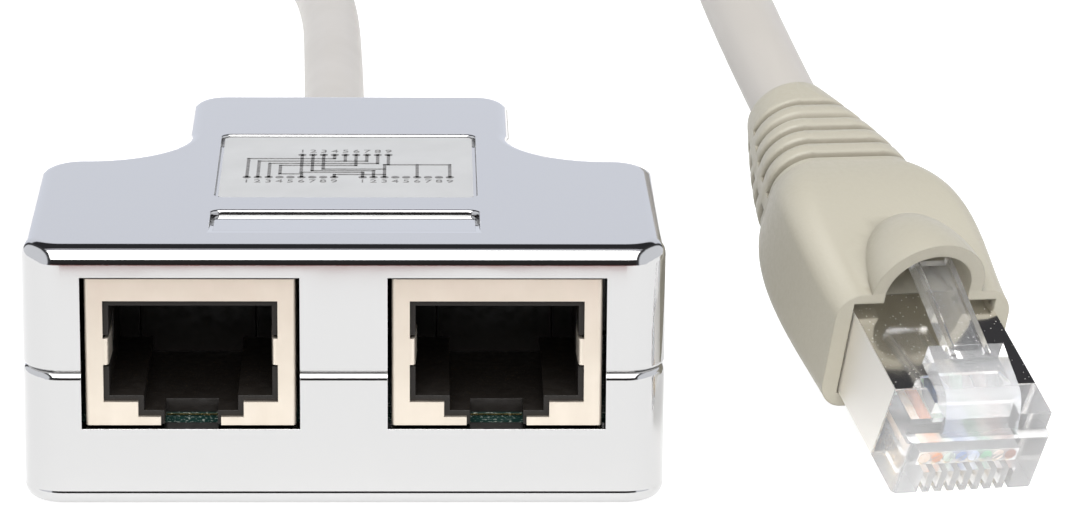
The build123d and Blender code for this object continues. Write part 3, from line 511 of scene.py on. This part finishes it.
# Studio: one wide lamp high in front with pale surroundings, and dark gaps round the lamp and
# beyond the sheet's edge, which the bright edges mirror. A band gives an angle up from the front
# in degrees and its tone; towards the sides the bands end in a dark gap and the surround.
studio_strength = 5.38
studio_low, studio_high = -30, 180
studio_bands = [
    (-30, (0.09, 0.03, 0.026)), (-11, (0.08, 0.026, 0.022)), (-8, (0.006, 0.005, 0.005)),
    (20, (0.009, 0.009, 0.009)), (22.5, (0.9, 0.9, 0.9)), (82, (1.0, 1.0, 1.0)),
    (84, (0.12, 0.12, 0.13)), (97, (0.12, 0.12, 0.13)), (99, (0.008, 0.008, 0.009)),
    (147, (0.007, 0.007, 0.008)), (151, (0.182, 0.187, 0.205)), (180, (0.1685, 0.176, 0.1955)),
]
side_gap, side_gap_edge = (0.012, 0.012, 0.013), (0.45, 0.50)
surround, surround_edge = (0.19, 0.194, 0.205), (0.56, 0.63)
world = bpy.data.worlds.new("studio")
world.use_nodes = True
bpy.context.scene.world = world
nodes, links = world.node_tree.nodes, world.node_tree.links
nodes["Background"].inputs["Strength"].default_value = studio_strength
direction, parts = nodes.new("ShaderNodeTexCoord"), nodes.new("ShaderNodeSeparateXYZ")
links.new(direction.outputs["Generated"], parts.inputs["Vector"])


def calculate(operation, first, second=None):
    """One sum on the world's nodes."""
    node = nodes.new("ShaderNodeMath")
    node.operation = operation
    for i, value in enumerate((first, second)):
        if isinstance(value, (int, float)):
            node.inputs[i].default_value = value
        elif value is not None:
            links.new(value, node.inputs[i])
    return node.outputs["Value"]


front = calculate("MULTIPLY", parts.outputs["Y"], -1.0)
turn = calculate("ARCTAN2", parts.outputs["Z"], front)
above_low = calculate("SUBTRACT", turn, radians(studio_low))
bands = nodes.new("ShaderNodeValToRGB")
links.new(calculate("DIVIDE", above_low, radians(studio_high - studio_low)), bands.inputs["Fac"])
stops = bands.color_ramp.elements
stop_places = [(angle - studio_low) / (studio_high - studio_low) for angle, tone in studio_bands]
for place in stop_places[1:-1]:
    stops.new(place)
for stop, place, (angle, tone) in zip(stops, stop_places, studio_bands):
    stop.position, stop.color = place, (*tone, 1)
glow = bands.outputs["Color"]
for (near, far), tone in ((side_gap_edge, side_gap), (surround_edge, surround)):
    sideways, blend = nodes.new("ShaderNodeMapRange"), nodes.new("ShaderNodeMix")
    sideways.interpolation_type, blend.data_type = "SMOOTHSTEP", "RGBA"
    sideways.inputs["From Min"].default_value = near
    sideways.inputs["From Max"].default_value = far
    links.new(calculate("ABSOLUTE", parts.outputs["X"]), sideways.inputs["Value"])
    blend.inputs["B"].default_value = (*tone, 1)
    links.new(sideways.outputs["Result"], blend.inputs["Factor"])
    links.new(glow, blend.inputs["A"])
    glow = blend.outputs["Result"]
links.new(glow, nodes["Background"].inputs["Color"])

# Camera: a long lens in front of the part and a little above it, at the photo's angle and rolled
# by half a degree as the photo is.
camera_place = Vector((5.32, -385.19, 129.9)) * MM
camera_yaw, camera_pitch, camera_roll = radians(1.411), radians(-16.94), radians(0.459)
sensor_width, focal_length = 36, 174.47
nearest, farthest = 0.01, 20
forward = Vector((sin(camera_yaw) * cos(camera_pitch), cos(camera_yaw) * cos(camera_pitch),
                  sin(camera_pitch)))
level = forward.cross(Vector((0, 0, 1))).normalized()
upward = level.cross(forward)
across = level * cos(camera_roll) + upward * sin(camera_roll)
rise = upward * cos(camera_roll) - level * sin(camera_roll)
lens = bpy.data.cameras.new("camera")
lens.sensor_width, lens.lens = sensor_width, focal_length
lens.clip_start, lens.clip_end = nearest, farthest
camera = bpy.data.objects.new("camera", lens)
bpy.context.scene.collection.objects.link(camera)
facing = Matrix((across, rise, -forward)).transposed().to_4x4()
camera.matrix_world = Matrix.Translation(camera_place) @ facing
bpy.context.scene.camera = camera
bpy.context.scene.view_settings.view_transform = "Standard"
